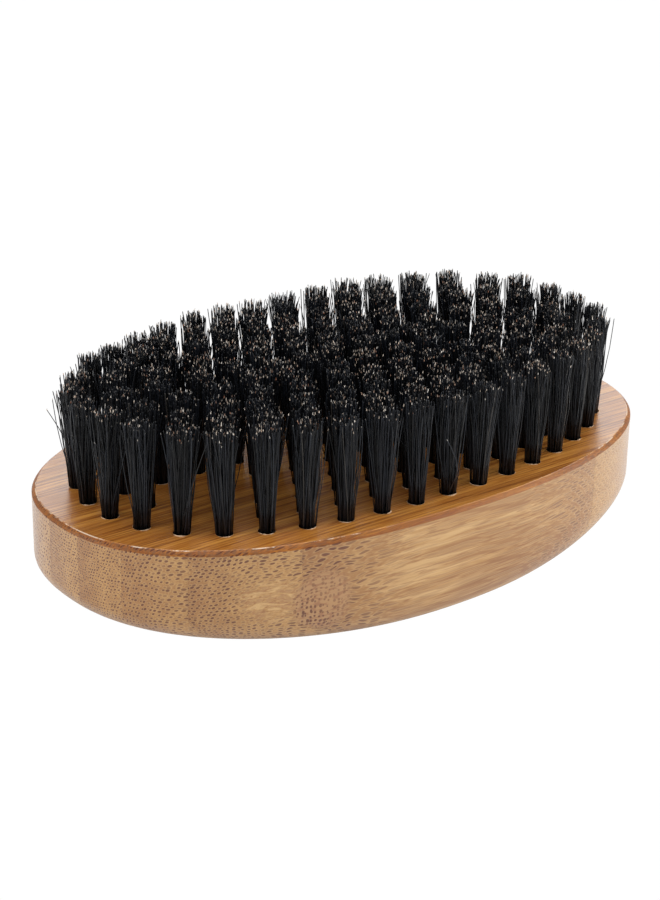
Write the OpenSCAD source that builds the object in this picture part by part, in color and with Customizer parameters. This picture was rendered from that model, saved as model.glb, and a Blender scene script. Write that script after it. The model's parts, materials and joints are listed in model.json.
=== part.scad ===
// Oval beard brush: a block of edge-glued bamboo lamellae, filled with boar-bristle tufts
// that flat wire anchors hold in blind holes. The brush lies on its back, bristles up.
// Origin: middle of the back's flat land. +X along the block, +Y across it, +Z along the bristles.

/* [Block] */
// Length of the oval block
block_l = 110; // [90:1:140]
// Width of the oval block
block_w = 64; // [54:1:80]
// Thickness of the block, from the back's land to the face
block_h = 18; // [14:0.5:24]
// Fullness of the oval: 2 is an ellipse, more is squarer
oval_n = 2.3; // [2:0.05:3]
// Chamfer round the rim of the face
rim_c = 0.7; // [0.3:0.1:1.5]
// Height of the rounded lower edge
edge_h = 7.5; // [4:0.5:10]
// How far the rounded edge runs in at the two ends
edge_end = 20; // [12:1:32]
// How far the rounded edge runs in at the two long sides
edge_side = 2.5; // [1:0.5:12]

/* [Lamellae] */
// Width of the front lamella, which the oval leaves thin
front_lam_w = 3.7; // [2.5:0.1:5]
// Width of the back lamella
back_lam_w = 6.7; // [4:0.1:9]

/* [Tuft layout] */
// Inset of the outer ring of tufts at the long sides
side_inset = 5.8; // [5:0.1:8]
// Inset of the outer ring of tufts at the two ends
end_inset = 7.3; // [6:0.1:9]
// Length of the straight row in the middle
centre_row_l = 29.4; // [20:0.1:34]
// Distance between neighbouring tufts in a ring
tuft_pitch = 6.4; // [5.4:0.1:8.5]
// Least air between the tips of neighbouring tufts
tip_gap = 0.4; // [0.1:0.1:1]

/* [Tufts] */
// Free length of the bristles above the face
bristle_h = 17; // [10:0.5:30]
// Diameter of a tuft where it leaves the face
tuft_d = 2.6; // [2:0.1:3.2]
// Diameter of a tuft at the tips
tip_d = 4.7; // [3.4:0.1:5.6]
// Height over which the tips round off
tip_round = 1.2; // [0.5:0.1:3]
// Height above the face at which a tuft starts to flare
neck_h = 1.5; // [0:0.5:4]

/* [Holes and anchors] */
// Depth of the blind tuft holes
hole_depth = 9; // [6:0.5:11]
// Clearance between a tuft's root and its hole, on the radius
root_gap = 0.05; // [0.02:0.01:0.15]
// Height of the flat wire anchor
anchor_h = 1.8; // [1:0.1:3]
// Thickness of the flat wire
anchor_t = 0.35; // [0.2:0.05:0.6]
// How far an anchor bites into the wood on each side
anchor_bite = 0.3; // [0.1:0.05:0.5]
// Bevel on the two driving corners of an anchor
anchor_bevel = 0.3; // [0.1:0.05:0.5]
// Clearance between the folded bristles and the wire
anchor_gap = 0.05; // [0.02:0.01:0.1]

/* [Hidden] */

half_l = block_l / 2;
half_w = block_w / 2;
lam_count = 9;
oval_steps = 100;
arc_steps = 720;
edge_steps = 9;
hole_r = tuft_d / 2 + root_gap;
past = 1;

// The glue lines: the outer two lamellae have their own widths, the others share what is left
inner_lam_w = (block_w - front_lam_w - back_lam_w) / (lam_count - 2);
function glue_y(i) = -half_w + front_lam_w + (i - 1) * inner_lam_w;

// A point of an oval with half axes a and b, at angle t
function signed_pow(v, p) = sign(v) * pow(abs(v), p);
function oval_point(a, b, t) =
    [a * signed_pow(cos(t), 2 / oval_n), b * signed_pow(sin(t), 2 / oval_n)];

// One level of the block's skin: the oval drawn in by end_in at the ends and side_in at the sides
function level(end_in, side_in, z) =
    [for (i = [0:oval_steps - 1])
        let (p = oval_point(half_l - end_in, half_w - side_in, i * 360 / oval_steps))
        [p.x, p.y, z]];

// The block's levels, from the back's land round the edge, up the side and over the chamfer
levels = concat(
    [for (k = [edge_steps:-1:0])
        let (q = k * 90 / edge_steps)
        level(edge_end * (1 - cos(q)), edge_side * (1 - cos(q)), edge_h * (1 - sin(q)))],
    [level(0, 0, block_h - rim_c), level(rim_c, rim_c, block_h)]);

module skin(rows) {
    n = len(rows[0]);
    last = len(rows) - 1;
    side_faces = [for (k = [0:last - 1], i = [0:n - 1])
        let (j = (i + 1) % n)
        each [[k * n + i, (k + 1) * n + i, k * n + j],
              [k * n + j, (k + 1) * n + i, (k + 1) * n + j]]];
    bottom_face = [for (i = [0:n - 1]) i];
    top_face = [for (i = [n - 1:-1:0]) last * n + i];
    polyhedron(points = [for (row = rows) each row],
               faces = concat([bottom_face], side_faces, [top_face]));
}

// The rings are counted from 1 at the rim. As many fit as leave the tips their air. Each is the
// outer ring drawn towards the straight row in the middle, in equal steps
outer_a = half_l - end_inset;
outer_b = half_w - side_inset;
row_half = centre_row_l / 2;
ring_count = floor(min(outer_b, outer_a - row_half) / (tip_d + tip_gap));
function ring_point(k, t) =
    let (p = oval_point(outer_a, outer_b, t),
         foot = [max(-row_half, min(row_half, p.x)), 0])
    p + (foot - p) * (k - 1) / ring_count;

// Running length along a ring against its angle, to set tufts at equal distances
function run(k) =
    let (pts = [for (i = [0:arc_steps]) ring_point(k, 180 + i * 360 / arc_steps)])
    [for (i = 0, s = 0; i <= arc_steps;
          s = s + (i < arc_steps ? norm(pts[i + 1] - pts[i]) : 0), i = i + 1)
        [s, 180 + i * 360 / arc_steps]];

// The tufts of a ring: an even number, half a pitch to each side of the block's end
function ring_spots(k) =
    let (table = run(k),
         around = table[arc_steps][0],
         count = 2 * round(around / tuft_pitch / 2))
    [for (i = [0:count - 1]) ring_point(k, lookup((i + 0.5) * around / count, table))];

// The straight row in the middle, also an even number
row_count = 2 * round((centre_row_l / tuft_pitch + 1) / 2);
row_spots = [for (i = [0:row_count - 1]) [row_half * (2 * i / (row_count - 1) - 1), 0]];

rings = [for (k = [1:ring_count]) ring_spots(k)];
inner_spots = [for (k = [3:ring_count - 1]) each rings[k]];
all_spots = concat([for (ring = rings) each ring], row_spots);
function front(spots) = [for (p = spots) if (p.y < 0) p];
function back(spots) = [for (p = spots) if (p.y > 0) p];

// The outline of an anchor, driven into the wood on both sides of a hole
module anchor(gap = 0) {
    w = hole_r + anchor_bite;
    h = anchor_h + gap;
    z = block_h - hole_depth;
    translate([0, 0, z])
        rotate([90, 0, 90])
            linear_extrude(anchor_t + 2 * gap, center = true)
                polygon([[-w + anchor_bevel, 0], [w - anchor_bevel, 0], [w, anchor_bevel],
                         [w, h], [-w, h], [-w, anchor_bevel]]);
}

// A blind hole with the grooves that its anchor cuts
module tuft_hole() {
    translate([0, 0, block_h - hole_depth])
        cylinder(r = hole_r, h = hole_depth + past, $fn = 48);
    anchor();
}

// A tuft: its root in the hole, its neck at the face, then the flare to the tips
module tuft() {
    root = tuft_d / 2;
    tip = tip_d / 2;
    foot = block_h - hole_depth;
    top = block_h + bristle_h;
    difference() {
        rotate_extrude($fn = 48)
            polygon([[0, foot], [root, foot], [root, block_h + neck_h], [tip, top - tip_round],
                     [tip - tip_round / 2, top - tip_round / 5], [0, top]]);
        anchor(anchor_gap);
    }
}

module lamella(i) {
    y0 = i == 1 ? -half_w - past : glue_y(i - 1);
    y1 = i == lam_count ? half_w + past : glue_y(i);
    reach = hole_r + anchor_bite + past;
    difference() {
        intersection() {
            skin(levels);
            translate([-half_l - past, y0, -past])
                cube([block_l + 2 * past, y1 - y0, block_h + 2 * past]);
        }
        for (p = all_spots)
            if (p.y > y0 - reach && p.y < y1 + reach)
                translate(p) tuft_hole();
    }
}

module tufts(spots) {
    color([0.09, 0.09, 0.1]) for (p = spots) translate(p) tuft();
}

module anchors(spots) {
    color([0.75, 0.76, 0.78]) for (p = spots) translate(p) anchor();
}

module lamella_1() { color([0.80, 0.64, 0.47]) lamella(1); }
module lamella_2() { color([0.76, 0.58, 0.41]) lamella(2); }
module lamella_3() { color([0.73, 0.54, 0.37]) lamella(3); }
module lamella_4() { color([0.75, 0.56, 0.39]) lamella(4); }
module lamella_5() { color([0.71, 0.51, 0.35]) lamella(5); }
module lamella_6() { color([0.77, 0.59, 0.42]) lamella(6); }
module lamella_7() { color([0.74, 0.55, 0.38]) lamella(7); }
module lamella_8() { color([0.78, 0.61, 0.44]) lamella(8); }
module lamella_9() { color([0.75, 0.57, 0.40]) lamella(9); }
module tufts_ring_1_front() { tufts(front(rings[0])); }
module tufts_ring_1_back() { tufts(back(rings[0])); }
module tufts_ring_2_front() { tufts(front(rings[1])); }
module tufts_ring_2_back() { tufts(back(rings[1])); }
module tufts_ring_3_front() { tufts(front(rings[2])); }
module tufts_ring_3_back() { tufts(back(rings[2])); }
module tufts_inner_front() { tufts(front(inner_spots)); }
module tufts_inner_back() { tufts(back(inner_spots)); }
module tufts_centre() { tufts(row_spots); }
module anchors_ring_1() { anchors(rings[0]); }
module anchors_ring_2() { anchors(rings[1]); }
module anchors_ring_3() { anchors(rings[2]); }
module anchors_inner() { anchors(inner_spots); }
module anchors_centre() { anchors(row_spots); }

lamella_1();
lamella_2();
lamella_3();
lamella_4();
lamella_5();
lamella_6();
lamella_7();
lamella_8();
lamella_9();
tufts_ring_1_front();
tufts_ring_1_back();
tufts_ring_2_front();
tufts_ring_2_back();
tufts_ring_3_front();
tufts_ring_3_back();
tufts_inner_front();
tufts_inner_back();
tufts_centre();
anchors_ring_1();
anchors_ring_2();
anchors_ring_3();
anchors_inner();
anchors_centre();
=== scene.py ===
import json
import math
from types import SimpleNamespace

import bmesh
import bpy
import numpy as np
from mathutils import Matrix, Vector

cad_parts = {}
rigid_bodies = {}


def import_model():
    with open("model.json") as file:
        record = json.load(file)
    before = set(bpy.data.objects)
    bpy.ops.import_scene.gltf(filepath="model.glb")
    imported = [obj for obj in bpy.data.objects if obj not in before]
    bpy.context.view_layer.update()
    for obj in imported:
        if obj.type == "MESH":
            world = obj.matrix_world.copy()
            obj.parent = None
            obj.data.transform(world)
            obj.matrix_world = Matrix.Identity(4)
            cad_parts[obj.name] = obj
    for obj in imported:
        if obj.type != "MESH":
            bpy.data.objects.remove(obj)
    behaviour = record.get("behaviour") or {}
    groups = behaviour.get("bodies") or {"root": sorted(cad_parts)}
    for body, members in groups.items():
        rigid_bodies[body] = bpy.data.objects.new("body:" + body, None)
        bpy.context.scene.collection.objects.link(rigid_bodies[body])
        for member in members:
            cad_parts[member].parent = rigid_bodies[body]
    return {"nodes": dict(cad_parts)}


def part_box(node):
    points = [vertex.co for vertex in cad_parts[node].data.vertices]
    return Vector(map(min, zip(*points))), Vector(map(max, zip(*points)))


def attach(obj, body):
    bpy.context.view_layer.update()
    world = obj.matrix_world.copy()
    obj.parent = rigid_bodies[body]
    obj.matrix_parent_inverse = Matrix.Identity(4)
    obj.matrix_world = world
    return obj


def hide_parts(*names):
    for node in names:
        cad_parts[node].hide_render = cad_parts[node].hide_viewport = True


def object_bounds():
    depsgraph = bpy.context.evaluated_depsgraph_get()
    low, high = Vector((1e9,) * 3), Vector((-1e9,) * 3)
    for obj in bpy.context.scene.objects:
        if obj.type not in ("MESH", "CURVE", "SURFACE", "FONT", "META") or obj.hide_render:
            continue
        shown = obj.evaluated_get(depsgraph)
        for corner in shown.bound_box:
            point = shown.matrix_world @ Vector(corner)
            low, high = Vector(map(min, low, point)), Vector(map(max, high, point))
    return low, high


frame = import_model()
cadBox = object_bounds()
mm = 0.001

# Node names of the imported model, by kind
allNodes = sorted(frame["nodes"])
lamellaNodes = [n for n in allNodes if n.startswith("lamella_")]
tuftNodes = [n for n in allNodes if n.startswith("tufts_")]
anchorNodes = [n for n in allNodes if n.startswith("anchors_")]

blockHigh = max(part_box(n)[1].z for n in lamellaNodes)  # level of the brush face
halfLong = (cadBox[1].x - cadBox[0].x) / 2
halfWide = (cadBox[1].y - cadBox[0].y) / 2
glueLines = sorted(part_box(n)[0].y for n in lamellaNodes)[1:]  # the lower side of each lamella but the first
stripWide = (glueLines[-1] - glueLines[0]) / (len(glueLines) - 1)


def clearScene():
    for o in list(bpy.data.objects):
        if o.type in {"LIGHT", "CAMERA"}:
            bpy.data.objects.remove(o)


def linkObject(name, mesh):
    o = bpy.data.objects.new(name, mesh)
    bpy.context.scene.collection.objects.link(o)
    return o


def addNode(tree, kind, inputs=None, **settings):
    n = tree.nodes.new(kind)
    for key, value in settings.items():
        setattr(n, key, value)
    for key, value in (inputs or {}).items():
        if isinstance(value, bpy.types.NodeSocket):
            tree.links.new(value, n.inputs[key])
        else:
            n.inputs[key].default_value = value
    return n


def maths(tree, operation, a, b=0.0, clamp=False):
    n = addNode(tree, "ShaderNodeMath", {0: a, 1: b}, operation=operation, use_clamp=clamp)
    return n.outputs[0]


def plus(tree, a, b, clamp=False):
    return maths(tree, "ADD", a, b, clamp)


def minus(tree, a, b):
    return maths(tree, "SUBTRACT", a, b)


def times(tree, a, b, clamp=False):
    return maths(tree, "MULTIPLY", a, b, clamp)


def over(tree, a, b):
    return maths(tree, "DIVIDE", a, b)


def mixColor(tree, factor, a, b, blend="MIX"):
    n = addNode(tree, "ShaderNodeMix", data_type="RGBA", blend_type=blend)
    for socket, value in zip((n.inputs[0], n.inputs[6], n.inputs[7]), (factor, a, b)):
        if isinstance(value, bpy.types.NodeSocket):
            tree.links.new(value, socket)
        else:
            socket.default_value = value if isinstance(value, float) else (*value, 1.0)
    return n.outputs[2]


def ramp(tree, value, low, high, start=0.0, end=1.0):
    # a smooth step of value from low..high onto start..end
    n = addNode(tree, "ShaderNodeMapRange", {"Value": value, "From Min": low, "From Max": high,
                                             "To Min": start, "To Max": end},
                interpolation_type="SMOOTHSTEP")
    return n.outputs[0]


def stretched(tree, vector, factors):
    n = addNode(tree, "ShaderNodeVectorMath", {0: vector, 1: factors}, operation="MULTIPLY")
    return n.outputs[0]


def noise(tree, vector, detail, roughness=0.5, distortion=0.0):
    return addNode(tree, "ShaderNodeTexNoise", {"Vector": vector, "Scale": 1.0, "Detail": detail,
                                                "Roughness": roughness, "Distortion": distortion})


def cellsOf(tree, u, v, randomness):
    flat = addNode(tree, "ShaderNodeCombineXYZ", {0: u, 1: v}).outputs[0]
    return addNode(tree, "ShaderNodeTexVoronoi", {"Vector": flat, "Scale": 1.0, "Randomness": randomness},
                   voronoi_dimensions="2D")


def channels(tree, color):
    return addNode(tree, "ShaderNodeSeparateColor", {0: color}).outputs


def farFrom(tree, axes, at, reach):
    # distance from a point, in units of its reach along each axis
    squares = []
    for axis, middle, length in zip(axes, at, reach):
        share = over(tree, minus(tree, axis, middle), length)
        squares.append(times(tree, share, share))
    return maths(tree, "SQRT", plus(tree, plus(tree, squares[0], squares[2]), squares[1]))


def newMaterial(name):
    m = bpy.data.materials.new(name)
    m.use_nodes = True
    m.node_tree.nodes.clear()
    tree = m.node_tree
    out = tree.nodes.new("ShaderNodeOutputMaterial")
    shader = tree.nodes.new("ShaderNodeBsdfPrincipled")
    tree.links.new(shader.outputs[0], out.inputs[0])
    return m, tree, shader


def makeGrainGroup():
    # fine and broad fibre streaks along X, from a vector in millimetres
    g = bpy.data.node_groups.new("fibreGrain", "ShaderNodeTree")
    g.interface.new_socket("Vector", in_out="INPUT", socket_type="NodeSocketVector")
    size = g.interface.new_socket("Fineness", in_out="INPUT", socket_type="NodeSocketFloat")
    size.default_value = 1.0
    g.interface.new_socket("Fine", in_out="OUTPUT", socket_type="NodeSocketFloat")
    g.interface.new_socket("Broad", in_out="OUTPUT", socket_type="NodeSocketFloat")
    gin, gout = g.nodes.new("NodeGroupInput"), g.nodes.new("NodeGroupOutput")
    sized = addNode(g, "ShaderNodeVectorMath", {0: stretched(g, gin.outputs["Vector"], (0.22, 5.5, 5.5)),
                                                "Scale": gin.outputs["Fineness"]}, operation="SCALE")
    fine = noise(g, sized.outputs[0], 4.0, roughness=0.6)
    broad = noise(g, stretched(g, gin.outputs["Vector"], (0.018, 0.55, 0.4)), 3.0,
                  roughness=0.55, distortion=0.3)
    g.links.new(fine.outputs[0], gout.inputs["Fine"])
    g.links.new(broad.outputs[0], gout.inputs["Broad"])
    return g


def grainOf(tree, grainGroup, vector, fineness=1.0):
    n = tree.nodes.new("ShaderNodeGroup")
    n.node_tree = grainGroup
    n.inputs["Fineness"].default_value = fineness
    tree.links.new(vector, n.inputs["Vector"])
    return n.outputs


def millimetres(tree):
    coords = addNode(tree, "ShaderNodeTexCoord")
    return addNode(tree, "ShaderNodeVectorMath", {0: coords.outputs["Object"], "Scale": 1000.0},
                   operation="SCALE").outputs[0]


bamboo = dict(
    pale=(0.455, 0.245, 0.078),    # soft wood between the fibre bundles
    warm=(0.300, 0.132, 0.036),    # denser, carameled wood
    streak=(0.235, 0.085, 0.020),  # fine dark fibres
    bundle=(0.135, 0.040, 0.011),  # the dots and dashes
    halo=(0.60, 0.375, 0.155),     # pale rings round the dots, and pale bands
    pink=(0.31, 0.138, 0.056),     # the patch at the culm's node
    glue=(0.07, 0.024, 0.009),
    faceStainAndShade=(0.96, 0.70, 0.34),  # what the lacquer leaves of the wood's colour on the face, with painted shade and bounce light among the tufts
    rimStain=(0.68, 0.41, 0.09),   # and on the chamfer round it
    faceStreak=(0.160, 0.060, 0.016),  # dark fibres in the face, and blotches on the chamfer
    faceFineness=0.62,             # of the streaks in the face, against 1 in the wood
    faceDrawn=(0.42, 1.0, 1.0),    # they are longer too
    edgeHighlightColor=(0.80, 0.66, 0.50),   # painted highlight in pale broken dashes along the corner of the face
    rimWide=0.72,                  # mm
    roughness=0.38,
    bareRoughness=0.22,            # more on the chamfer
    coat=0.70,
    bareCoat=0.15,                 # on the chamfer
)

# The fibre bundles across a strip
bundles = dict(
    perMm=1.58,
    size=0.270,             # radius as a share of their spacing
    sizeNode=0.06,          # more of it at the culm's node
    randomness=0.45,
    lean=0.38,              # of their rows
    crowding=(0.86, 0.24),  # at a strip's front side, and how much more towards its back
    packing=(0.92, 0.38),   # the loosest strip, and how much denser one from near the culm's skin can be
    apart=(31.7, 40.0),     # so that no strip repeats its neighbour's pattern
    wanderY=1.8,            # mm
    wanderZ=2.6,
    soft=0.80,              # how much fainter where they are cut lengthwise
    knotsPerMm=1.4,         # dots in the patch at the node
    knotRandomness=0.7,
)

# Noise cells per millimetre along X, Y and Z
grainScale = dict(
    wander=(0.055, 0.09, 0.09),
    swirl=(0.30, 0.5, 0.35),
    waves=(0.20, 0.55, 1.35),
    longGrain=(0.045, 0.7, 0.85),
    threads=(0.16, 2.0, 2.6),
    blotches=(0.9, 2.6, 2.6),
    highlightDashes=(0.16, 0.16, 0.0),
)

# Where the marks on the front lie, in millimetres
marks = dict(
    nodeAt=(-27.8, -30.0, 8.2),   # the culm's node
    nodeReach=(6.5, 3.0, 6.8),
    calmAt=(-34.5, -27.5, 9.5),   # calm wood in pale waves, left of it
    calmReach=(6.0, 5.0, 4.6),
    lensAt=(12.0, 5.0),           # x and z of a browner lens
    lensReach=(17.0, 3.6),
    lensRise=1.5,                 # how much higher its end lies
    lensDeep=(-26.0, -30.0),      # y where it starts and where it is full
    thinFrom=(8.0, 38.0),         # x over which the bundles thin out
    thinDeep=(-22.0, -12.0),      # y behind which they hardly do
    edgeHighlightFrom=(12.0, 24.0),        # the painted highlight is strongest towards the ends
)

# How strongly each layer covers the one below
cover = dict(streak=0.70, paleBand=0.72, thread=0.55, brownBand=0.80, lens=0.45, paleWave=0.75,
             pinkWave=0.55, node=0.80, halo=0.30, faceStreak=0.76, faceGold=0.55, edgeHighlight=0.62,
             bundle=0.84, bundleDense=0.20, bundleOwn=0.14)


def woodFields(t, grainGroup):
    # what the wood is like at each point, lengths in millimetres
    f = SimpleNamespace(pos=millimetres(t))
    f.x, f.y, f.z = addNode(t, "ShaderNodeSeparateXYZ", {0: f.pos}).outputs
    axes = (f.x, f.y, f.z)

    # the fibres wander a little along the culm
    away = channels(t, noise(t, stretched(t, f.pos, grainScale["wander"]), 2.0).outputs["Color"])
    f.wanderY = times(t, minus(t, away[0], 0.5), bundles["wanderY"])
    f.wanderZ = times(t, minus(t, away[1], 0.5), bundles["wanderZ"])

    # which strip this is, how far across it, and the strip's own three random numbers
    firstGlue, f.wide = glueLines[0] / mm, stripWide / mm
    across = over(t, minus(t, f.y, firstGlue), f.wide)
    f.strip = maths(t, "FLOOR", across)
    f.share = minus(t, across, f.strip)
    chance = addNode(t, "ShaderNodeTexWhiteNoise", {"W": f.strip}, noise_dimensions="1D")
    f.own = channels(t, chance.outputs["Color"])
    f.dense = ramp(t, f.share, 0.15, 1.0)  # towards its back side

    # 1 on a side cut lengthwise, 0 on one cut across the fibres
    turned = addNode(t, "ShaderNodeSeparateXYZ", {0: addNode(t, "ShaderNodeNewGeometry").outputs["Normal"]})
    f.tangent = ramp(t, maths(t, "ABSOLUTE", turned.outputs[0]), 0.05, 0.26, 1.0, 0.0)

    # at the culm's node the fibres swirl, left of it the wood is calm
    far = farFrom(t, axes, marks["nodeAt"], marks["nodeReach"])
    f.patch = ramp(t, plus(t, far, times(t, away[2], 0.5)), 0.98, 1.30, 1.0, 0.0)
    swirl = noise(t, stretched(t, f.pos, grainScale["swirl"]), 1.0)
    f.swirled = times(t, minus(t, swirl.outputs[0], 0.5), ramp(t, far, 1.1, 2.4, 1.5, 0.0))
    farCalm = farFrom(t, axes, marks["calmAt"], marks["calmReach"])
    f.calm = ramp(t, plus(t, farCalm, times(t, away[2], 0.6)), 0.75, 1.45, 1.0, 0.0)

    grain = grainOf(t, grainGroup, f.pos)
    f.fine, f.broad = grain["Fine"], grain["Broad"]
    f.longGrain = noise(t, stretched(t, f.pos, grainScale["longGrain"]), 2.0, distortion=0.4).outputs[0]

    faceLevel = blockHigh / mm
    rimLevel = faceLevel - bamboo["rimWide"]
    f.onFace = ramp(t, f.z, faceLevel - 0.12, faceLevel - 0.03)
    f.onRim = ramp(t, f.z, rimLevel - 0.08, rimLevel + 0.05)  # the chamfer and the face
    f.bareRim = times(t, f.onRim, minus(t, 1.0, f.onFace))
    f.onCorner = times(t, ramp(t, f.z, faceLevel - 0.15, faceLevel - 0.10),
                       ramp(t, f.z, faceLevel - 0.03, faceLevel - 0.005, 1.0, 0.0))
    return f


def fibreBundles(t, f):
    # dots in the cross-section, crowded towards each strip's back side, and the pale rings round them
    b = bundles
    shifted = plus(t, f.share, over(t, f.wanderY, f.wide))
    start, more = b["crowding"]
    crowd = times(t, shifted, plus(t, start, times(t, shifted, more)))
    loose, denser = b["packing"]
    packed = times(t, plus(t, loose, times(t, f.own[0], denser)), b["perMm"])
    v = times(t, plus(t, plus(t, f.z, f.wanderZ), f.swirled), packed)
    v = plus(t, v, times(t, f.own[0], b["apart"][1]))
    u = plus(t, times(t, times(t, crowd, f.wide), packed), times(t, f.strip, b["apart"][0]))
    u = plus(t, u, times(t, v, b["lean"]))
    cells = cellsOf(t, u, v, b["randomness"])
    chance = channels(t, cells.outputs["Color"])
    radius = times(t, plus(t, 0.75, times(t, chance[0], 0.5)), b["size"])
    radius = plus(t, radius, times(t, f.patch, b["sizeNode"]))
    inside = minus(t, radius, cells.outputs["Distance"])
    dots = times(t, ramp(t, inside, -0.08, 0.08), ramp(t, chance[1], 0.0, 0.45, 0.55, 1.0))
    dots = times(t, dots, minus(t, 1.0, times(t, f.tangent, b["soft"])))
    dots = times(t, dots, minus(t, 1.0, times(t, f.calm, 0.85)))

    # the node has its own, seen from the front
    knots = cellsOf(t, times(t, plus(t, f.x, f.wanderZ), b["knotsPerMm"]),
                    times(t, plus(t, f.z, f.swirled), b["knotsPerMm"]), b["knotRandomness"])
    smaller = times(t, channels(t, knots.outputs["Color"])[0], 0.20)
    knotDots = ramp(t, minus(t, knots.outputs["Distance"], smaller), 0.11, 0.24, 0.95, 0.0)
    knotDots = times(t, knotDots, ramp(t, plus(t, f.x, f.z), -16.0, -24.0, 0.45, 1.0))
    dots = plus(t, times(t, dots, minus(t, 1.0, f.patch)), times(t, knotDots, f.patch))
    return dots, ramp(t, inside, -0.24, -0.06)


def woodColor(t, f, dots, rings):
    b = bamboo
    # the dense side of a strip is darker, and each strip has its own tone
    tone = plus(t, times(t, f.dense, 0.62), ramp(t, f.broad, 0.36, 0.66, -0.08, 0.42))
    tone = plus(t, tone, times(t, minus(t, f.own[1], 0.45), 0.55), clamp=True)
    color = mixColor(t, tone, b["pale"], b["warm"])
    color = mixColor(t, ramp(t, f.fine, 0.44, 0.70, 0.0, cover["streak"]), color, b["streak"])

    # bands and threads along the sides cut lengthwise
    threads = noise(t, stretched(t, f.pos, grainScale["threads"]), 1.0).outputs[0]
    for value, low, high, layer, tint in ((f.longGrain, 0.50, 0.66, "paleBand", "halo"),
                                          (threads, 0.56, 0.66, "thread", "streak"),
                                          (f.longGrain, 0.50, 0.34, "brownBand", "warm")):
        band = times(t, ramp(t, value, low, high), f.tangent)
        color = mixColor(t, times(t, band, cover[layer]), color, b[tint])

    # a browner lens of wood low on the front
    (lensX, lensZ), (reachX, reachZ) = marks["lensAt"], marks["lensReach"]
    shareX = over(t, minus(t, f.x, lensX), reachX)
    shareZ = over(t, minus(t, f.z, plus(t, lensZ, times(t, shareX, marks["lensRise"]))), reachZ)
    lens = plus(t, times(t, shareX, shareX), times(t, shareZ, shareZ))
    lens = times(t, ramp(t, lens, 0.5, 1.15, 1.0, 0.0), ramp(t, f.y, *marks["lensDeep"]))
    color = mixColor(t, times(t, lens, cover["lens"]), color, b["streak"])

    waves = noise(t, stretched(t, f.pos, grainScale["waves"]), 1.5, distortion=1.2).outputs[0]
    color = mixColor(t, times(t, ramp(t, waves, 0.48, 0.62, 0.0, cover["paleWave"]), f.calm), color, b["halo"])
    color = mixColor(t, times(t, ramp(t, waves, 0.50, 0.36, 0.0, cover["pinkWave"]), f.calm), color, b["pink"])
    color = mixColor(t, times(t, f.patch, cover["node"]), color, b["pink"])
    color = mixColor(t, times(t, rings, cover["halo"]), color, b["halo"])

    # the bundles, thinner towards one end of the front strips
    strength = plus(t, cover["bundle"], times(t, f.dense, cover["bundleDense"]))
    strength = plus(t, strength, times(t, f.own[2], cover["bundleOwn"]))
    thin = times(t, ramp(t, f.x, *marks["thinFrom"], 0.0, 0.70), ramp(t, f.y, *marks["thinDeep"], 1.0, 0.22))
    strength = times(t, strength, minus(t, 1.0, thin))
    color = mixColor(t, times(t, dots, strength, clamp=True), color, b["bundle"])

    # glue lines, broken up, and mostly seen in the face
    edge = times(t, maths(t, "MINIMUM", f.share, minus(t, 1.0, f.share)), f.wide)
    glue = times(t, ramp(t, edge, 0.05, 0.14, 1.0, 0.0), ramp(t, f.broad, 0.47, 0.58, 0.08, 0.92))
    glue = times(t, glue, ramp(t, f.onFace, 0.0, 1.0, 0.15, 1.0))
    return mixColor(t, glue, color, b["glue"])


def finishedColor(t, f, color, grainGroup):
    # the sanded face shows the fibres as fine streaks, the stain darkens it and its chamfer, and the face also
    # gets painted shade and bounce light among the tufts
    b = bamboo
    streaks = grainOf(t, grainGroup, stretched(t, f.pos, b["faceDrawn"]), b["faceFineness"])["Fine"]
    dark = times(t, ramp(t, streaks, 0.50, 0.62, 0.0, cover["faceStreak"]), f.onFace)
    color = mixColor(t, dark, color, b["faceStreak"])
    gold = times(t, ramp(t, streaks, 0.34, 0.46, cover["faceGold"], 0.0), f.onFace)
    color = mixColor(t, gold, color, b["halo"])
    color = mixColor(t, f.onRim, color, mixColor(t, 1.0, color, b["rimStain"], "MULTIPLY"))

    # the chamfer is cut across the fibres, so it drinks the stain unevenly
    drunk = noise(t, stretched(t, f.pos, grainScale["blotches"]), 2.0).outputs[0]
    mottle = times(t, ramp(t, drunk, 0.46, 0.60), f.bareRim)
    mottle = times(t, mottle, ramp(t, f.tangent, 0.0, 1.0, 0.75, 0.30))
    color = mixColor(t, mottle, color, b["faceStreak"])
    # the face's tint is partly the lacquer's stain and partly painted shade and bounce light among the tufts
    fromRim = tuple(face / rim for face, rim in zip(b["faceStainAndShade"], b["rimStain"]))
    lift = mixColor(t, f.onFace, (1.0, 1.0, 1.0), fromRim)
    color = mixColor(t, 1.0, color, lift, "MULTIPLY")

    # painted highlight: pale broken dashes along the corner of the face, stronger towards its ends
    highlightDashes = noise(t, stretched(t, f.pos, grainScale["highlightDashes"]), 6.0, roughness=0.7).outputs[0]
    edgeHighlight = times(t, f.onCorner, ramp(t, highlightDashes, 0.50, 0.58, 0.0, cover["edgeHighlight"]))
    edgeHighlight = times(t, edgeHighlight, ramp(t, maths(t, "ABSOLUTE", f.x), *marks["edgeHighlightFrom"]))
    return mixColor(t, edgeHighlight, color, b["edgeHighlightColor"])


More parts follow.
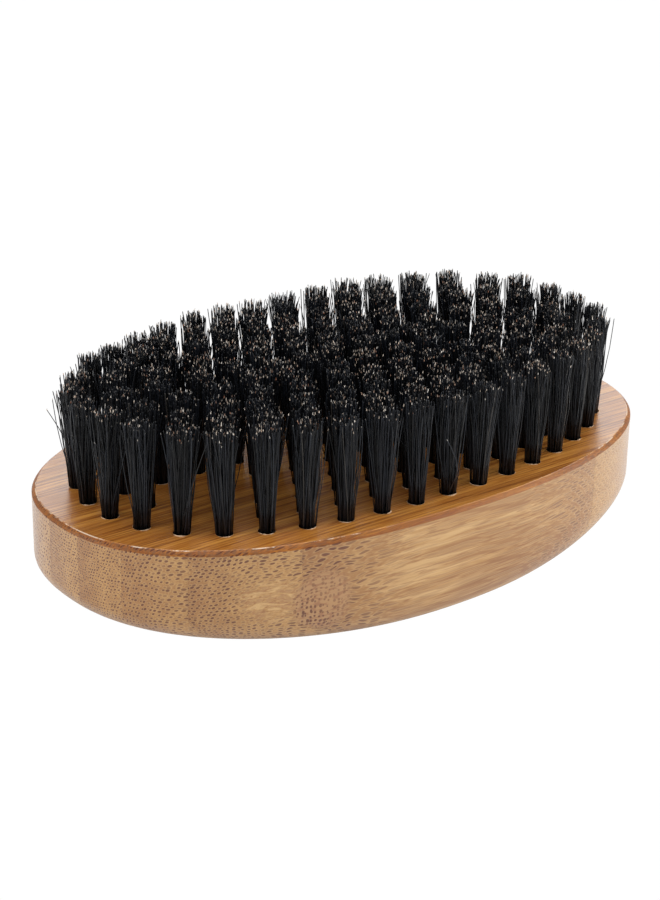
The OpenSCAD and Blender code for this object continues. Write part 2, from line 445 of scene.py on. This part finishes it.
def makeBamboo(grainGroup):
    m, t, shader = newMaterial("carbonisedBamboo")
    b = bamboo
    f = woodFields(t, grainGroup)
    dots, rings = fibreBundles(t, f)
    color = finishedColor(t, f, woodColor(t, f, dots, rings), grainGroup)
    t.links.new(color, shader.inputs["Base Color"])
    rough = plus(t, b["roughness"], times(t, minus(t, f.fine, 0.5), 0.25))
    rough = plus(t, rough, times(t, f.bareRim, b["bareRoughness"]))
    t.links.new(plus(t, rough, times(t, dots, 0.12)), shader.inputs["Roughness"])
    shader.inputs["Specular IOR Level"].default_value = 0.30
    coat = minus(t, b["coat"], times(t, f.bareRim, b["coat"] - b["bareCoat"]))
    t.links.new(coat, shader.inputs["Coat Weight"])
    shader.inputs["Coat Roughness"].default_value = 0.26
    height = minus(t, times(t, f.fine, 0.4), dots)
    bump = addNode(t, "ShaderNodeBump", {"Height": height, "Strength": 0.8, "Distance": 0.08 * mm})
    t.links.new(bump.outputs[0], shader.inputs["Normal"])
    return m


def makeTornFibre(grainGroup):
    m, t, shader = newMaterial("tornFibre")
    fine = grainOf(t, grainGroup, millimetres(t), 2.0)["Fine"]
    color = mixColor(t, ramp(t, fine, 0.3, 0.7), (0.62, 0.47, 0.33), (0.40, 0.24, 0.13))
    t.links.new(color, shader.inputs["Base Color"])
    shader.inputs["Roughness"].default_value = 0.75
    return m


block = dict(
    fullness=2.3,    # of the oval, 2 is an ellipse
    edgeHigh=7.5 * mm,
    edgeEnd=20.0 * mm,
    edgeSide=2.5 * mm,
    rim=0.7 * mm,    # chamfer round the face
    rimSwell=0.12,   # how far sanding has rounded it, as a share of its width
    around=240,      # steps round the oval
    edgeSteps=22,
    wallSteps=4,
    rimSteps=4,
    sharpFrom=24,    # degrees
    holeDeep=9.0 * mm,
    holeWide=2.7 * mm,
    holeSides=28,
)


def ovalRing(halfX, halfY, z, steps):
    a = np.arange(steps) * 2 * math.pi / steps
    power = 2 / block["fullness"]
    xs = halfX * np.sign(np.cos(a)) * np.abs(np.cos(a)) ** power
    ys = halfY * np.sign(np.sin(a)) * np.abs(np.sin(a)) ** power
    return np.stack([xs, ys, np.full(steps, z)], 1)


def blockSkin():
    # rings from the bottom up: the rounded back, the upright side, the chamfer
    b = block
    rings = []
    for k in range(b["edgeSteps"], -1, -1):
        q = k * math.pi / 2 / b["edgeSteps"]
        rings.append(ovalRing(halfLong - b["edgeEnd"] * (1 - math.cos(q)),
                              halfWide - b["edgeSide"] * (1 - math.cos(q)),
                              b["edgeHigh"] * (1 - math.sin(q)), b["around"]))
    wall = blockHigh - b["rim"] - b["edgeHigh"]
    for k in range(1, b["wallSteps"] + 1):
        rings.append(ovalRing(halfLong, halfWide, b["edgeHigh"] + wall * k / b["wallSteps"], b["around"]))
    for k in range(1, b["rimSteps"] + 1):
        s = k / b["rimSteps"]
        swell = b["rimSwell"] * b["rim"] * math.sin(math.pi * s)
        inset = b["rim"] * s - swell
        rings.append(ovalRing(halfLong - inset, halfWide - inset,
                              blockHigh - b["rim"] * (1 - s), b["around"]))
    return rings


def skinMesh(rings):
    bm = bmesh.new()
    rows = [[bm.verts.new(p) for p in ring] for ring in rings]
    n = len(rows[0])
    for low, high in zip(rows, rows[1:]):
        for i in range(n):
            j = (i + 1) % n
            bm.faces.new((low[i], low[j], high[j], high[i]))
    bm.faces.new(list(reversed(rows[0])))
    bm.faces.new(rows[-1])
    return bm


def cutAway(bm, y, keepAbove):
    # cuts the mesh at the plane y and closes the cut
    side = 1.0 if keepAbove else -1.0
    bmesh.ops.bisect_plane(bm, geom=bm.verts[:] + bm.edges[:] + bm.faces[:], dist=1e-7,
                           plane_co=(0, y, 0), plane_no=(0, side, 0), clear_inner=True)
    rimEdges = [e for e in bm.edges if e.is_boundary]
    bmesh.ops.contextual_create(bm, geom=rimEdges)


def apexSpots(name):
    # a tuft's axis passes through the top point of its CAD solid
    co = np.array([v.co[:] for v in frame["nodes"][name].data.vertices])
    tops = co[co[:, 2] > co[:, 2].max() - 1e-6]
    return np.unique(np.round(tops[:, :2], 7), axis=0)


tuftSpots = {n: apexSpots(n) for n in tuftNodes}


def holeCutter():
    b = block
    above = 1.0 * mm  # what stands out over the face
    radius = b["holeWide"] / 2
    bm = bmesh.new()
    for spot in np.vstack(list(tuftSpots.values())):
        at = Matrix.Translation((spot[0], spot[1], blockHigh - b["holeDeep"] / 2 + above / 2))
        bmesh.ops.create_cone(bm, cap_ends=True, segments=b["holeSides"], radius1=radius,
                              radius2=radius, depth=b["holeDeep"] + above, matrix=at)
    mesh = bpy.data.meshes.new("holeCutter")
    bm.to_mesh(mesh)
    bm.free()
    return linkObject("holeCutter", mesh)


def shadeByAngle(mesh, degrees):
    bm = bmesh.new()
    bm.from_mesh(mesh)
    for f in bm.faces:
        f.smooth = True
    for e in bm.edges:
        sharp = len(e.link_faces) != 2 or e.calc_face_angle(0.0) > math.radians(degrees)
        e.smooth = not sharp
    bm.to_mesh(mesh)
    bm.free()


def makeLamellae(material):
    rings = blockSkin()
    cutter = holeCutter()
    bounds = [None] + glueLines + [None]
    made = []
    for k, name in enumerate(lamellaNodes):
        bm = skinMesh(rings)
        if bounds[k] is not None:
            cutAway(bm, bounds[k], True)
        if bounds[k + 1] is not None:
            cutAway(bm, bounds[k + 1], False)
        bmesh.ops.recalc_face_normals(bm, faces=bm.faces[:])
        mesh = bpy.data.meshes.new("bambooStrip_%d" % (k + 1))
        bm.to_mesh(mesh)
        bm.free()
        strip = linkObject("bambooStrip_%d" % (k + 1), mesh)
        drill = strip.modifiers.new("drill", "BOOLEAN")
        drill.object = cutter
        drill.operation = "DIFFERENCE"
        drill.solver = "MANIFOLD"
        strip.data = bpy.data.meshes.new_from_object(
            strip.evaluated_get(bpy.context.evaluated_depsgraph_get()))
        strip.modifiers.clear()
        strip.data.name = strip.name
        shadeByAngle(strip.data, block["sharpFrom"])
        strip.data.materials.clear()
        strip.data.materials.append(material)
        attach(strip, "root")
        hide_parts(name)
        made.append(strip)
    bpy.data.objects.remove(cutter)
    return made


# Ragged lips of torn fibre where the drill came out of the face
lip = dict(
    steps=26,
    wide=0.17 * mm,
    narrowest=0.35,     # share of the width
    crest=0.35,         # share of the width where it is highest
    high=0.16 * mm,
    lowest=0.01 * mm,
    swing=0.6,          # of the raggedness round a hole
    cut=0.45,           # below this share there is none
    sunk=0.05 * mm,
    clear=0.005 * mm,   # from the wall of the hole
    seed=11,
)


def makeLips(material):
    rng = np.random.default_rng(lip["seed"])
    spots = np.vstack(list(tuftSpots.values()))
    n, radius = lip["steps"], block["holeWide"] / 2
    verts, faces = [], []
    narrowest = lip["narrowest"]
    for sx, sy in spots:
        base = len(verts)
        turn = rng.uniform(0, 2 * math.pi)
        rough = rng.random(n)
        for i in range(n):
            a = 2 * math.pi * i / n
            ragged = max(0.0, math.sin(a * 2 + turn) * lip["swing"] + rough[i] - lip["cut"])
            high = lip["lowest"] + lip["high"] * ragged
            wide = lip["wide"] * (narrowest + (1.0 - narrowest) * min(1.0, ragged))
            profile = ((lip["clear"], -lip["sunk"]), (wide * lip["crest"], high), (wide, -lip["sunk"]))
            for reach, z in profile:
                r = radius + reach
                verts.append((sx + r * math.cos(a), sy + r * math.sin(a), blockHigh + z))
        for i in range(n):
            j = (i + 1) % n
            for e in range(3):
                f = (e + 1) % 3
                faces.append((base + 3 * i + e, base + 3 * i + f, base + 3 * j + f, base + 3 * j + e))
    mesh = bpy.data.meshes.new("tornLips")
    mesh.from_pydata(verts, [], faces)
    mesh.materials.append(material)
    o = linkObject("tornLips", mesh)
    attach(o, "root")


bristle = dict(
    perTuft=108,
    rootWide=2.50 * mm,      # a tuft where it leaves the face
    rootScatter=0.04 * mm,
    tipWide=4.55 * mm,       # and at the tips
    crowding=0.9,            # below 1 they stand closer to the tuft's side there
    thick=0.185 * mm,        # one bristle at the root
    taper=0.22,              # how much thinner near the tip
    endTaper=0.66,           # and again at its very end
    longest=17.3 * mm,
    uneven=1.0 * mm,         # how much the cut ends differ
    shoulder=0.5 * mm,       # how much shorter the outermost are
    scatter=0.32 * mm,       # sideways at the tips
    twist=0.35,              # radians round the tuft
    spread=0.08,             # how much the flare differs within a tuft
    bend=0.35 * mm,
    flare=1.30,              # they stand upright in the hole and lean out above it
    stations=(-0.10, 0.20, 0.45, 0.70, 0.90, 0.986, 0.990, 1.0),  # shares of the length
    sunk=17 * mm,            # the length which the share inside the hole refers to
    sides=4,
    paleShare=0.36,          # bristles with pale split ends
    paleVaries=(0.35, 1.5),  # times that share, from tuft to tuft
    paleFrom=0.989,          # share of the length
    wholeShare=0.0008,       # pale all the way down
    wholePale=0.30,
    strayShare=0.028,
    strayReach=1.4 * mm,
    strayShorter=2.0 * mm,
    wildShare=0.0022,        # a few lie out over the wood
    wildReach=(3, 5.5),      # mm
    wildLength=(0.45, 0.8),  # times its length
    wildBend=3.0,
    seed=2024,
)

# How much whole tufts differ
tuft = dict(spread=0.07, lean=0.30 * mm, height=0.18 * mm)

# Short blades at the end of a split bristle
fork = dict(palest=0.3, blades=3, foot=0.05 * mm, spread=(0.04, 0.14), rise=(0.05, 0.24), overTop=0.6 * mm)

goldenAngle = 2.399963  # radians


def headings(angle):
    return np.stack([np.cos(angle), np.sin(angle)], 1)


def drawBristles(spots, rng):
    # where each bristle of these tufts starts, ends and bends, and how pale its end is
    b = bristle
    per = b["perTuft"]
    total = len(spots) * per
    spot = np.repeat(spots, per, axis=0)
    k = np.tile(np.arange(per), len(spots))
    turn = np.repeat(rng.uniform(0, 2 * math.pi, len(spots)), per)
    out = np.sqrt((k + 0.5) / per)  # 0 in the middle of a tuft, 1 at its side
    angle = k * goldenAngle + turn
    rootReach = b["rootWide"] / 2 - b["thick"] / 2
    root = spot + headings(angle) * (out * rootReach)[:, None] + rng.normal(0, b["rootScatter"], (total, 2))

    tipAngle = angle + rng.normal(0, b["twist"], total)
    tipReach = b["tipWide"] / 2 * out ** b["crowding"] * rng.normal(1.0, b["spread"], total)
    tipReach *= np.repeat(rng.normal(1.0, tuft["spread"], len(spots)), per)
    tip = spot + headings(tipAngle) * tipReach[:, None]
    tip += np.repeat(rng.normal(0, tuft["lean"], (len(spots), 2)), per, axis=0)
    tip += rng.normal(0, b["scatter"], (total, 2))
    tall = b["longest"] - np.abs(rng.normal(0, b["uneven"], total)) - out ** 3 * b["shoulder"]
    tall = np.minimum(tall + np.repeat(rng.normal(0, tuft["height"], len(spots)), per), b["longest"])

    stray = rng.random(total) < b["strayShare"]
    strays = int(stray.sum())
    tip[stray] += rng.normal(0, b["strayReach"], (strays, 2))
    tall[stray] -= rng.uniform(0, b["strayShorter"], strays)
    bend = rng.normal(0, b["bend"], (total, 2))
    wild = rng.random(total) < b["wildShare"]
    wildWay = headings(rng.uniform(0, 2 * math.pi, total))
    tip[wild] += (wildWay * rng.uniform(*b["wildReach"], (total, 1)) * mm)[wild]
    tall[wild] *= rng.uniform(*b["wildLength"], total)[wild]
    bend[wild] *= b["wildBend"]

    tone = rng.random(total)
    paleHere = b["paleShare"] * np.repeat(rng.uniform(*b["paleVaries"], len(spots)), per)
    pale = np.where(rng.random(total) < paleHere, 0.12 + 0.88 * rng.random(total) ** 1.7, 0.0)
    whole = rng.random(total) < b["wholeShare"]
    spin = rng.uniform(0, math.pi / 2, total)
    return SimpleNamespace(total=total, root=root, tip=tip, tall=tall, bend=bend, tone=tone,
                           pale=pale, whole=whole, spin=spin)


def bristleTubes(h):
    # the vertices of every tube, ring by ring, how pale each ring is, and the faces
    b = bristle
    sides, rings = b["sides"], len(b["stations"])
    co = np.empty((h.total, rings, sides, 3), np.float32)
    paleAt = np.zeros((h.total, rings), np.float32)
    for r, s in enumerate(b["stations"]):
        above = max(s, 0.0)
        centre = h.root + (h.tip - h.root) * above ** b["flare"] + h.bend * math.sin(math.pi * above)
        width = b["thick"] / 2 * (1.0 - b["taper"] * above) * (b["endTaper"] if s == 1.0 else 1.0)
        for c in range(sides):
            co[:, r, c, :2] = centre + width * headings(h.spin + c * 2 * math.pi / sides)
        co[:, r, :, 2] = (blockHigh + (h.tall if s > 0 else b["sunk"]) * s * np.ones(h.total))[:, None]
        paleAt[:, r] = h.pale * (1.0 if s > b["paleFrom"] else 0.0)
    paleAt[h.whole] = b["wholePale"]

    base = (np.arange(h.total) * rings * sides)[:, None]
    quads = []
    for r in range(rings - 1):
        for c in range(sides):
            low, nextLow = r * sides + c, r * sides + (c + 1) % sides
            quads.append(base + np.array([[low, nextLow, nextLow + sides, low + sides]]))
    top = (rings - 1) * sides
    quads.append(base + np.array([[top + c for c in range(sides)]]))
    quads.append(base + np.array([list(reversed(range(sides)))]))
    return co, paleAt, np.concatenate(quads).astype(np.int32)


def splitEnds(h, rng, firstVertex):
    # a few short blades on each pale bristle, and which bristle each belongs to
    owner = np.repeat(np.flatnonzero(h.pale > fork["palest"]), fork["blades"])
    count = len(owner)
    end, level = h.tip[owner], blockHigh + h.tall[owner]
    lean = rng.uniform(0, 2 * math.pi, count)
    spread = rng.uniform(*fork["spread"], count) * mm
    rise = rng.uniform(*fork["rise"], count) * mm
    co = np.empty((count, 4, 3), np.float32)
    for c in range(3):
        co[:, c, :2] = end + fork["foot"] * headings(lean + c * 2 * math.pi / 3)
        co[:, c, 2] = level - fork["foot"]
    co[:, 3, :2] = end + spread[:, None] * headings(lean)
    co[:, 3, 2] = np.minimum(level + rise, cadBox[1].z + fork["overTop"])
    base = (firstVertex + np.arange(count) * 4)[:, None]
    corners = ([0, 1, 3], [1, 2, 3], [2, 0, 3], [2, 1, 0])
    tris = np.concatenate([base + np.array([three]) for three in corners]).astype(np.int32)
    return co, tris, owner


def bakeMap(mesh, total, owner):
    # every bristle unwraps into its own cell of a grid, its split end above it
    sides, steps = bristle["sides"], len(bristle["stations"]) - 1
    cells = math.ceil(math.sqrt(total))
    hair = np.arange(total)
    cell = np.stack([hair % cells, hair // cells], 1)[:, None, :]
    corners = np.array([[0, 0], [1, 0], [1, 1], [0, 1]])
    margin, tubeHigh, capWide = 0.05, 0.84, 0.04  # shares of a cell
    cap = corners * capWide + np.array([margin, 0.85])
    foot = corners * capWide + margin
    blade = np.array([[0.05, 0.91], [0.95, 0.91], [0.5, 0.97]])
    faceSize = np.array([0.90 / sides, tubeHigh / steps])
    parts = [cell + (np.array([c, r]) + corners) * faceSize + margin
             for r in range(steps) for c in range(sides)]
    parts += [cell + cap, cell + foot] + [cell[owner] + blade] * 4
    uv = np.concatenate([part.reshape(-1, 2) for part in parts])
    mesh.uv_layers.new(name="OFBake").data.foreach_set("uv", uv.astype(np.float32).ravel() / cells)


def growTufts(name, seed):
    rng = np.random.default_rng(seed)
    h = drawBristles(tuftSpots[name], rng)
    tubes, paleAt, quads = bristleTubes(h)
    perBristle = tubes.shape[1] * tubes.shape[2]
    blades, tris, owner = splitEnds(h, rng, h.total * perBristle)

    verts = np.concatenate([tubes.reshape(-1, 3), blades.reshape(-1, 3)])
    mesh = bpy.data.meshes.new(name.replace("tufts", "bristles"))
    mesh.vertices.add(len(verts))
    mesh.vertices.foreach_set("co", verts.ravel())
    loops = np.concatenate([quads.ravel(), tris.ravel()])
    mesh.loops.add(len(loops))
    mesh.loops.foreach_set("vertex_index", loops)
    sizes = np.concatenate([np.full(len(quads), 4), np.full(len(tris), 3)]).astype(np.int32)
    starts = np.concatenate([[0], np.cumsum(sizes)[:-1]]).astype(np.int32)
    mesh.polygons.add(len(sizes))
    mesh.polygons.foreach_set("loop_start", starts)
    mesh.polygons.foreach_set("loop_total", sizes)
    mesh.update(calc_edges=True)
    mesh.polygons.foreach_set("use_smooth", np.ones(len(sizes), bool))
    bakeMap(mesh, h.total, owner)
    tones = np.concatenate([np.repeat(h.tone, perBristle), np.repeat(h.tone[owner], 4)])
    mesh.attributes.new("tone", "FLOAT", "POINT").data.foreach_set("value", tones)
    pales = np.concatenate([np.repeat(paleAt.ravel(), bristle["sides"]), np.repeat(h.pale[owner], 4)])
    mesh.attributes.new("pale", "FLOAT", "POINT").data.foreach_set("value", pales)
    return mesh


hair = dict(
    dark=(0.0022, 0.0024, 0.003),
    # the lighter end of the bristles' own tone, tinted blue-grey as a painted sheen along the shafts
    lightWithSheen=(0.015, 0.018, 0.025),
    grey=(0.05, 0.045, 0.04),      # now and then one
    dull=(0.004, 0.004, 0.005),    # patches along the shaft
    tips=((0.0, (0.36, 0.15, 0.085, 1)), (0.35, (0.70, 0.56, 0.43, 1)), (1.0, (0.92, 0.86, 0.78, 1))),
)


def makeBristleMaterial():
    m, t, shader = newMaterial("boarBristle")
    tone = addNode(t, "ShaderNodeAttribute", attribute_name="tone").outputs["Fac"]
    pale = addNode(t, "ShaderNodeAttribute", attribute_name="pale").outputs["Fac"]
    patchy = noise(t, stretched(t, millimetres(t), (3.0, 3.0, 0.5)), 2.0).outputs[0]
    # each bristle's own tone, its lighter end carrying a painted blue-grey sheen
    shaft = mixColor(t, ramp(t, tone, 0.2, 1.0), hair["dark"], hair["lightWithSheen"])
    shaft = mixColor(t, ramp(t, tone, 0.975, 0.985), shaft, hair["grey"])
    shaft = mixColor(t, ramp(t, patchy, 0.4, 0.7, 0.0, 0.5), shaft, hair["dull"])
    tips = addNode(t, "ShaderNodeValToRGB", {0: tone})
    stops = tips.color_ramp.elements
    stops.new(0.5)
    for stop, (position, color) in zip(stops, hair["tips"]):
        stop.position, stop.color = position, color
    t.links.new(mixColor(t, pale, shaft, tips.outputs[0]), shader.inputs["Base Color"])
    t.links.new(ramp(t, patchy, 0.3, 0.7, 0.26, 0.40), shader.inputs["Roughness"])
    shader.inputs["Specular IOR Level"].default_value = 0.34
    return m


def makeBristles(material):
    for k, name in enumerate(tuftNodes):
        mesh = growTufts(name, bristle["seed"] + k)
        mesh.materials.append(material)
        o = linkObject(mesh.name, mesh)
        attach(o, "root")
        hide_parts(name)


def makeWireMaterial():
    m, t, shader = newMaterial("tinnedWire")
    lines = noise(t, stretched(t, millimetres(t), (1.5, 0.6, 14.0)), 3.0).outputs[0]  # drawn lengthwise
    color = mixColor(t, ramp(t, lines, 0.3, 0.7), (0.50, 0.50, 0.52), (0.68, 0.68, 0.70))
    t.links.new(color, shader.inputs["Base Color"])
    t.links.new(ramp(t, lines, 0.3, 0.7, 0.28, 0.48), shader.inputs["Roughness"])
    shader.inputs["Metallic"].default_value = 1.0
    return m


def dressAnchors(material):
    for name in anchorNodes:
        o = frame["nodes"][name]
        o.data.materials.clear()
        o.data.materials.append(material)


look = dict(azimuth=-37.7, elevation=23.0, roll=0.94, distance=350 * mm, lens=84.7,
            aim=(-2.4 * mm, 1.0 * mm, -1.7 * mm))  # aim is measured from the middle of the face


def towards(azimuth, elevation):
    # from the brush to a thing at these angles, in degrees, with azimuth 0 in front
    a, e = math.radians(azimuth), math.radians(elevation)
    return Vector((math.sin(a) * math.cos(e), -math.cos(a) * math.cos(e), math.sin(e)))


def makeCamera():
    back = towards(look["azimuth"], look["elevation"])
    r = math.radians(look["roll"])
    right = Vector((0, 0, 1)).cross(back).normalized()
    up = back.cross(right)
    right, up = right * math.cos(r) + up * math.sin(r), up * math.cos(r) - right * math.sin(r)
    data = bpy.data.cameras.new("camera")
    data.lens = look["lens"]
    data.clip_start, data.clip_end = 0.01, 10.0
    camera = linkObject("camera", data)
    place = Matrix((right, up, back)).transposed().to_4x4()
    place.translation = Vector((0, 0, blockHigh)) + Vector(look["aim"]) + back * look["distance"]
    camera.matrix_world = place
    bpy.context.scene.camera = camera


paper = dict(
    half=3.0,          # of its side
    below=0.02 * mm,   # the brush
    grey=0.66,
    glow=0.24,         # so the back of the block isn't black from below
    white=1.01,        # burnt out where it is seen, and so is the world
    world=0.5,         # what the world lights with
)


def makeFloor():
    mesh = bpy.data.meshes.new("floor")
    s, grey = paper["half"], paper["grey"]
    mesh.from_pydata([(-s, -s, 0), (s, -s, 0), (s, s, 0), (-s, s, 0)], [], [(0, 1, 2, 3)])
    floor = linkObject("floor", mesh)
    floor.location.z = cadBox[0].z - paper["below"]
    m, t, shader = newMaterial("paper")
    shader.inputs["Base Color"].default_value = (grey, grey, grey, 1)
    shader.inputs["Roughness"].default_value = 0.9
    shader.inputs["Emission Color"].default_value = (1, 1, 1, 1)
    shader.inputs["Emission Strength"].default_value = paper["glow"]
    # an even white where it is seen, and not there at all from below
    white = addNode(t, "ShaderNodeEmission", {"Color": (1, 1, 1, 1), "Strength": paper["white"]})
    seen = addNode(t, "ShaderNodeMixShader", {0: addNode(t, "ShaderNodeLightPath").outputs["Is Camera Ray"],
                                              1: shader.outputs[0], 2: white.outputs[0]})
    below = addNode(t, "ShaderNodeMixShader", {0: addNode(t, "ShaderNodeNewGeometry").outputs["Backfacing"],
                                               1: seen.outputs[0],
                                               2: addNode(t, "ShaderNodeBsdfTransparent").outputs[0]})
    out = next(n for n in t.nodes if n.type == "OUTPUT_MATERIAL")
    t.links.new(below.outputs[0], out.inputs[0])
    mesh.materials.append(m)


lights = (
    # name, azimuth, elevation, distance, size, power in watts
    ("softLeft", -112, 25, 0.9, 0.7, 3.4),
    ("softRight", 60, 25, 0.9, 0.7, 5.6),
    ("softTop", -37, 75, 0.9, 0.9, 4.5),
    ("softBack", 142, 30, 1.2, 1.0, 4.2),
)


def makeLights():
    world = bpy.data.worlds.new("studio")
    bpy.context.scene.world = world
    world.use_nodes = True
    tree = world.node_tree
    background = tree.nodes["Background"]
    background.inputs["Color"].default_value = (1, 1, 1, 1)
    seen = addNode(tree, "ShaderNodeLightPath").outputs["Is Camera Ray"]
    tree.links.new(ramp(tree, seen, 0.0, 1.0, paper["world"], paper["white"]), background.inputs["Strength"])
    middle = Vector((0, 0, blockHigh))
    for name, azimuth, elevation, distance, size, power in lights:
        back = towards(azimuth, elevation)
        data = bpy.data.lights.new(name, "AREA")
        data.shape = "DISK"
        data.size = size
        data.energy = power
        lamp = linkObject(name, data)
        lamp.location = middle + back * distance
        lamp.rotation_mode = "QUATERNION"
        lamp.rotation_quaternion = (-back).to_track_quat("-Z", "Y")


clearScene()
grainGroup = makeGrainGroup()
bambooMaterial = makeBamboo(grainGroup)
print("block: %d strips" % len(makeLamellae(bambooMaterial)))
makeLips(makeTornFibre(grainGroup))
makeBristles(makeBristleMaterial())
print("bristles: %d tufts" % sum(len(s) for s in tuftSpots.values()))
dressAnchors(makeWireMaterial())
makeCamera()
makeFloor()
makeLights()
bpy.context.scene.view_settings.view_transform = "Standard"
print("studio ready")
